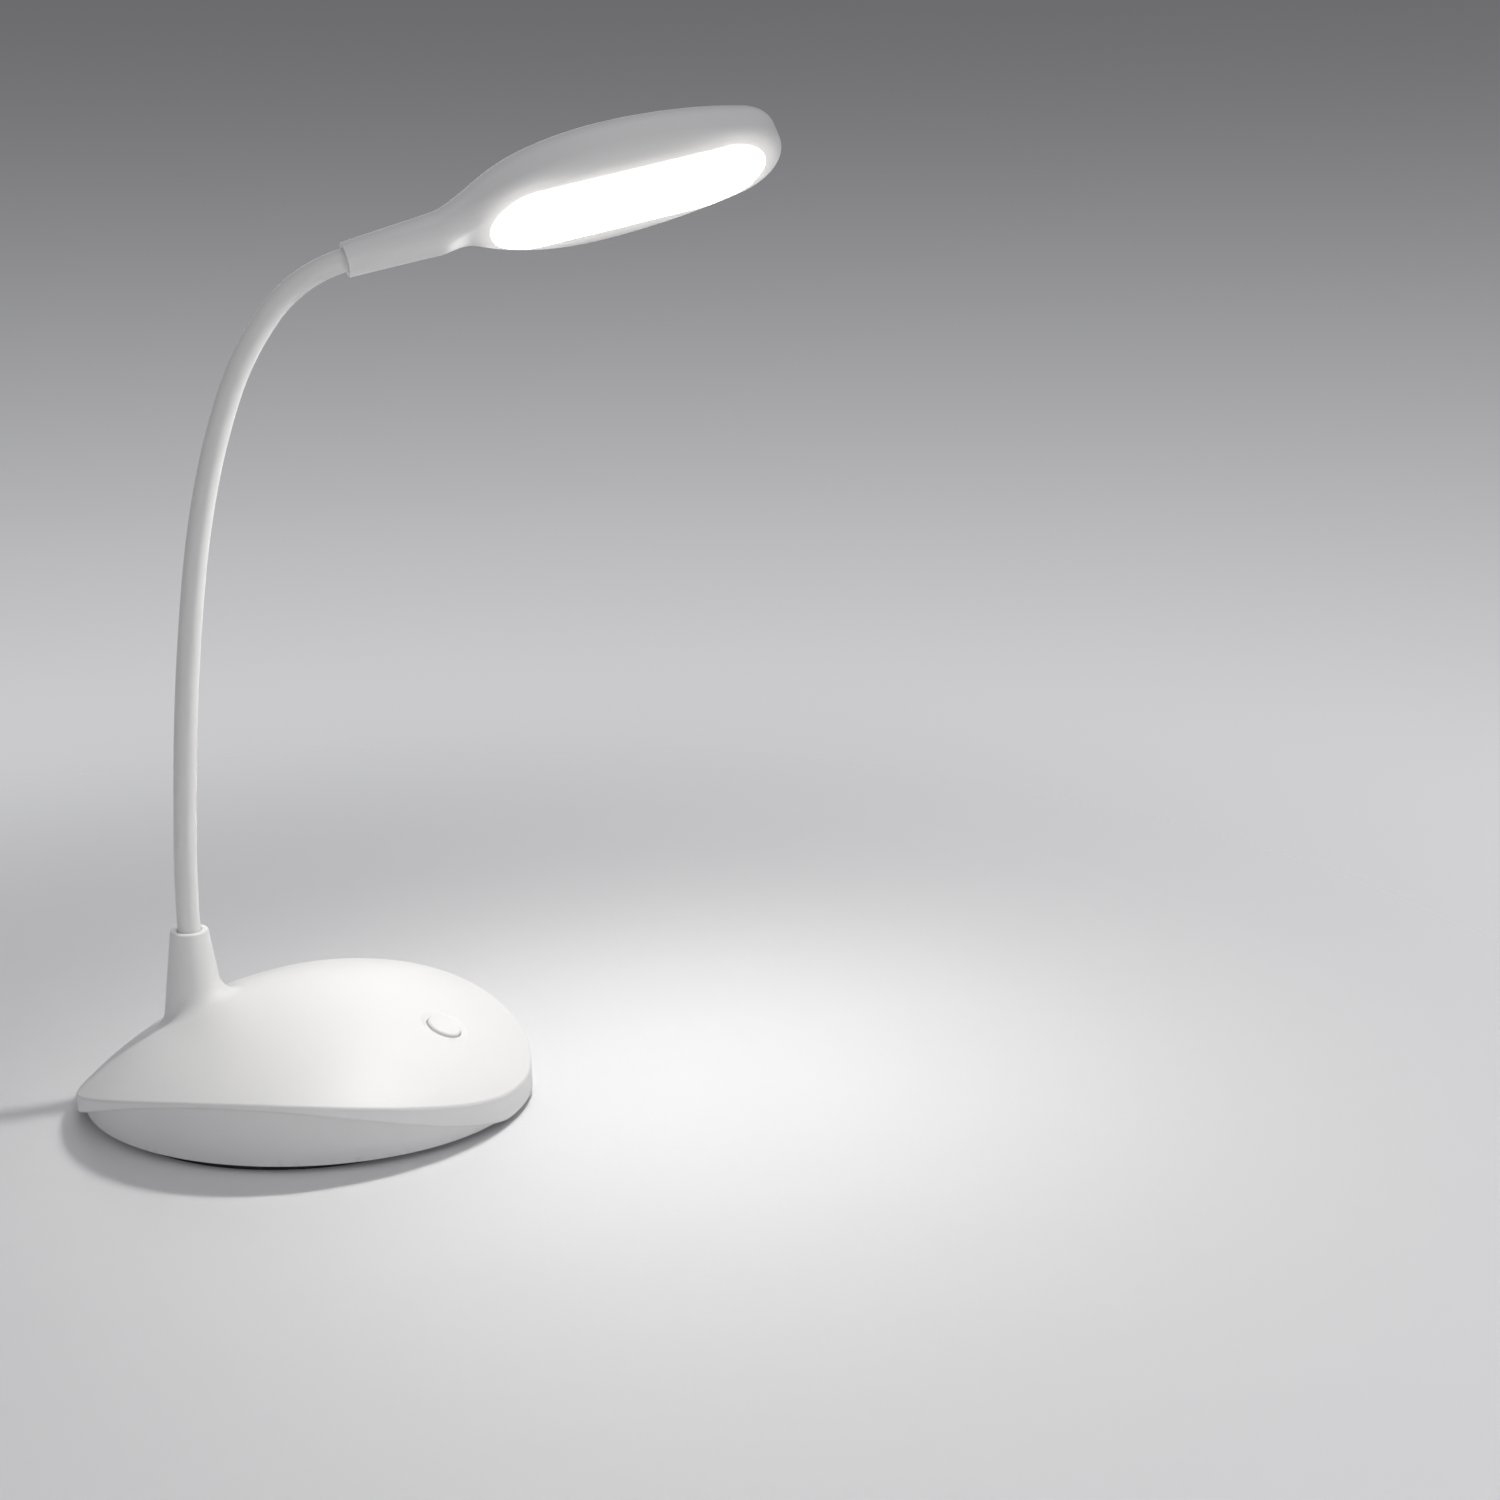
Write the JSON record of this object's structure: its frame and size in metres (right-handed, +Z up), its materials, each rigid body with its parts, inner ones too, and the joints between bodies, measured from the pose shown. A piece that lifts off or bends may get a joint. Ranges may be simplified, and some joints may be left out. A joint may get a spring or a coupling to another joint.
{
  "type": "led desk lamp",
  "caption": "White LED desk lamp: oval weighted base with a press key, flexible gooseneck arm and a flat oval head with a lit milky window.",
  "frame": {"origin": "middle of the base's underside, on the table, on the foot pad's lower face", "axes": "+Z up, +X along the base from the neck to the key, +Y to the side that the charging inlet is on"},
  "size_m": [0.1932, 0.1624, 0.2771],
  "materials": {
    "shell_white": "glossy moulded",
    "tray_white": "satin moulded",
    "pad_rubber": "matt",
    "sleeve_silicone": "soft matt",
    "spring_steel": "bare",
    "lead_insulation": "smooth",
    "ballast_steel": "zinc plated",
    "screw_steel": "zinc plated",
    "inlet_steel": "nickel plated",
    "ferrule_brass": "turned",
    "cell_foil": "foil",
    "board_green": "solder mask",
    "switch_black": "moulded",
    "light_board_white": "white solder mask",
    "chip_yellow": "phosphor",
    "diffuser_milky": "milky"
  },
  "bodies": {
    "base": {"base_cover": "shell_white", "base_tray": "tray_white", "foot_pad": "pad_rubber", "base_screws": "screw_steel", "ballast_plate": "ballast_steel", "battery_cell": "cell_foil", "driver_board": "board_green", "charging_socket": "inlet_steel", "switch_board": "board_green", "board_screws": "screw_steel", "tact_switch": "switch_black", "neck_ferrule": "ferrule_brass", "neck_retainer": "screw_steel", "retainer_screws": "screw_steel", "neck_sleeve_1": "sleeve_silicone", "neck_core_1": "spring_steel", "neck_leads_1": "lead_insulation"},
    "key": {"power_key": "shell_white", "switch_plunger": "switch_black"},
    "neck_link_2": {"neck_sleeve_2": "sleeve_silicone", "neck_core_2": "spring_steel", "neck_leads_2": "lead_insulation"},
    "neck_link_3": {"neck_sleeve_3": "sleeve_silicone", "neck_core_3": "spring_steel", "neck_leads_3": "lead_insulation"},
    "neck_link_4": {"neck_sleeve_4": "sleeve_silicone", "neck_core_4": "spring_steel", "neck_leads_4": "lead_insulation"},
    "neck_link_5": {"neck_sleeve_5": "sleeve_silicone", "neck_core_5": "spring_steel", "neck_leads_5": "lead_insulation"},
    "neck_link_6": {"neck_sleeve_6": "sleeve_silicone", "neck_core_6": "spring_steel", "neck_leads_6": "lead_insulation"},
    "neck_link_7": {"neck_sleeve_7": "sleeve_silicone", "neck_core_7": "spring_steel", "neck_leads_7": "lead_insulation"},
    "head": {"neck_sleeve_8": "sleeve_silicone", "neck_core_8": "spring_steel", "neck_leads_8": "lead_insulation", "head_ferrule": "ferrule_brass", "head_shell": "shell_white", "head_bezel": "shell_white", "diffuser": "diffuser_milky", "light_board": "light_board_white", "light_chips": "chip_yellow"}
  },
  "joints": [
    {"name": "key_press", "type": "slide", "parent": "base", "child": "key", "axis": [0.4202, 0, 0.9074], "range_m": [-0.0006, 0], "stiffness_N_per_m": 1500},
    {"name": "neck_nod_1", "type": "hinge", "parent": "base", "child": "neck_link_2", "pos_m": [-0.03214, 0.00045, 0.07478], "axis": [-0.527, 0.8499, 0], "range_deg": [-18, 14]},
    {"name": "neck_sway_1", "type": "hinge", "parent": "neck_link_2", "child": "neck_link_3", "pos_m": [-0.03051, 0.00146, 0.10041], "axis": [0.8469, 0.5251, -0.0837], "range_deg": [-22, 22]},
    {"name": "neck_nod_2", "type": "hinge", "parent": "neck_link_3", "child": "neck_link_4", "pos_m": [-0.02826, 0.00286, 0.12597], "axis": [-0.527, 0.8499, 0], "range_deg": [-22, 20]},
    {"name": "neck_sway_2", "type": "hinge", "parent": "neck_link_4", "child": "neck_link_5", "pos_m": [-0.02522, 0.00474, 0.15142], "axis": [0.8394, 0.5205, -0.1564], "range_deg": [-22, 22]},
    {"name": "neck_nod_3", "type": "hinge", "parent": "neck_link_5", "child": "neck_link_6", "pos_m": [-0.02081, 0.00747, 0.17658], "axis": [-0.527, 0.8499, 0], "range_deg": [-25, 24]},
    {"name": "neck_sway_3", "type": "hinge", "parent": "neck_link_6", "child": "neck_link_7", "pos_m": [-0.0141, 0.01163, 0.20102], "axis": [0.7908, 0.4903, -0.3665], "range_deg": [-25, 25]},
    {"name": "neck_nod_4", "type": "hinge", "parent": "neck_link_7", "child": "head", "pos_m": [-0.00311, 0.01845, 0.22311], "axis": [-0.527, 0.8499, 0], "range_deg": [-30, 22]}
  ]
}
